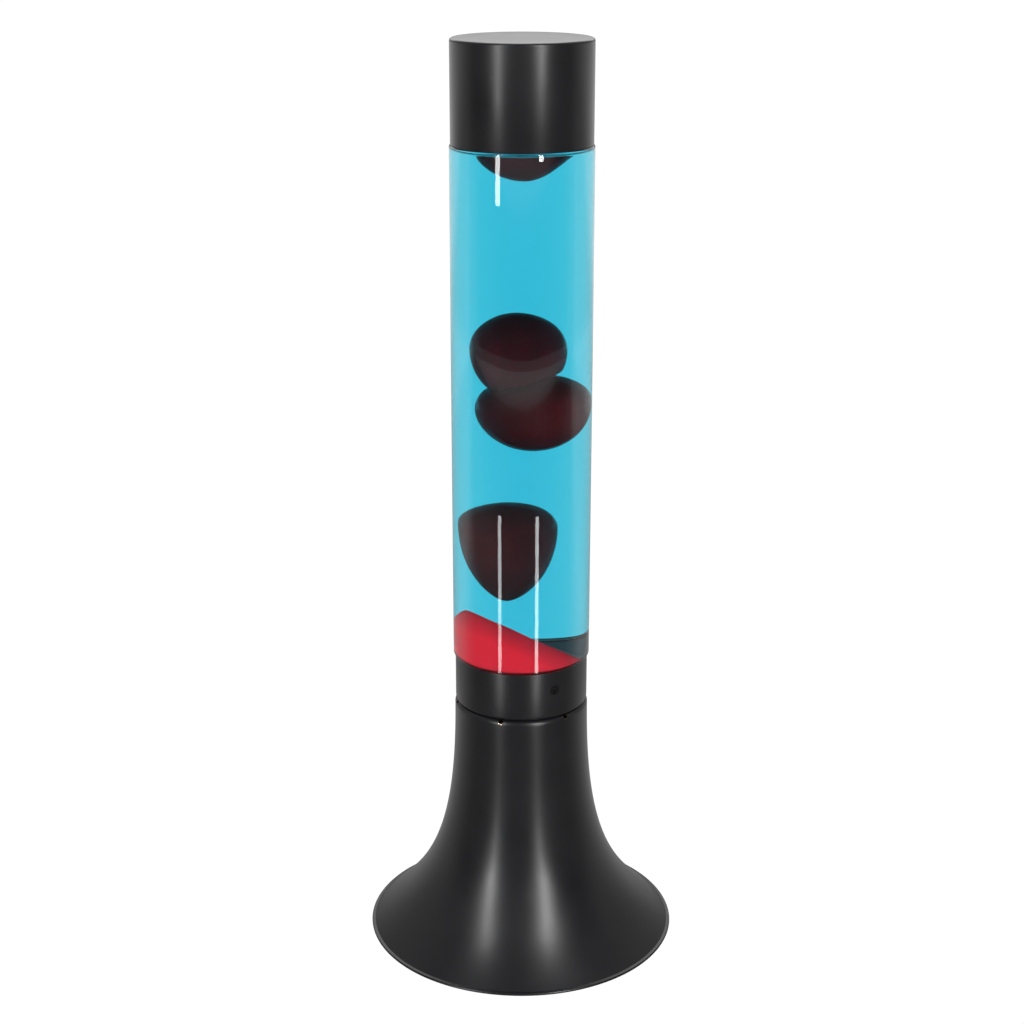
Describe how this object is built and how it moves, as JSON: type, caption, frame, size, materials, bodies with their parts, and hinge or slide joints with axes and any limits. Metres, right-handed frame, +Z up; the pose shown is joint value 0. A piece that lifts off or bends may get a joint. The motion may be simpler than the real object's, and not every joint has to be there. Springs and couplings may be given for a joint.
{
  "type": "lava lamp",
  "caption": "Table lamp with a glass tube of blue liquid and drifting red wax, standing in a black trumpet-shaped base that holds the bulb, under a black cylindrical cap.",
  "frame": {"origin": "centre of the plane the feet rest on, on the lamp's axis", "axes": "+Z up along the lamp's axis, front towards -Y (a collar screw sits 30 degrees to the right of the front), cord outlet towards +Y"},
  "size_m": [0.138, 0.138, 0.4],
  "materials": {
    "satin_black": "fine satin powder coat",
    "plate_black": "moulded, matt",
    "zinc_steel": "zinc plated",
    "rubber_black": "matt",
    "brass": "bright, slightly tarnished",
    "phenolic_black": "moulded phenolic, dull sheen",
    "screw_black": "blackened steel",
    "silicone": "translucent, matt",
    "bulb_glass": "frosted front",
    "bulb_brass": "rolled thread, dull",
    "insulator_black": "vitrified, glossy",
    "stem_glass": "clear",
    "tungsten": "coiled wire",
    "clear_glass": "clear, polished",
    "closure_metal": "knurled, satin",
    "liner_white": "foam liner",
    "blue_liquid": "clear coloured liquid",
    "coil_wire": "drawn wire",
    "red_wax": "molten wax, glossy, translucent",
    "liner_black": "moulded"
  },
  "bodies": {
    "base": {"base_shell": "satin_black", "bottom_plate": "plate_black", "rim_screws": "zinc_steel", "rubber_feet": "rubber_black", "cord_grommet": "rubber_black", "holder_bracket": "zinc_steel", "bracket_screws": "zinc_steel", "mounting_nipple": "brass", "nipple_nuts": "zinc_steel", "lampholder_dome": "phenolic_black", "lampholder_skirt": "phenolic_black", "contact_sleeve": "brass", "centre_contact": "brass", "terminal_screws": "brass", "lamp_collar": "satin_black", "collar_screws": "screw_black", "seat_ring": "silicone"},
    "bulb": {"bulb_envelope": "bulb_glass", "bulb_cap": "bulb_brass", "bulb_insulator": "insulator_black", "bulb_stem": "stem_glass", "bulb_filament": "tungsten"},
    "globe": {"glass_bottle": "clear_glass", "bottle_closure": "closure_metal", "closure_liner": "liner_white", "liquid": "blue_liquid", "wire_coil": "coil_wire", "wax_mound": "red_wax", "wax_pool": "red_wax"},
    "upper_wax": {"wax_blob_upper": "red_wax"},
    "middle_wax": {"wax_blob_middle": "red_wax"},
    "lower_wax": {"wax_blob_lower": "red_wax"},
    "top_cap": {"cap_shell": "satin_black", "cap_liner": "liner_black"}
  },
  "joints": [
    {"name": "globe_lift", "type": "slide", "parent": "base", "child": "globe", "axis": [0, 0, 1], "range_m": [0, 0.04]},
    {"name": "cap_lift", "type": "slide", "parent": "globe", "child": "top_cap", "axis": [0, 0, 1], "range_m": [0, 0.06]},
    {"name": "bulb_unscrew", "type": "hinge", "parent": "base", "child": "bulb", "pos_m": [0, 0, 0.07], "axis": [0, 0, 1], "range_deg": [0, 1080]},
    {"name": "upper_wax_drift", "type": "slide", "parent": "globe", "child": "upper_wax", "axis": [0, 0, 1], "range_m": [0, 0.045], "deforming": ["liquid"]},
    {"name": "middle_wax_drift", "type": "slide", "parent": "globe", "child": "middle_wax", "axis": [0, 0, 1], "range_m": [-0.01, 0], "deforming": ["liquid"]},
    {"name": "lower_wax_drift", "type": "slide", "parent": "globe", "child": "lower_wax", "axis": [0, 0, 1], "range_m": [-0.005, 0.01], "deforming": ["liquid"]}
  ]
}
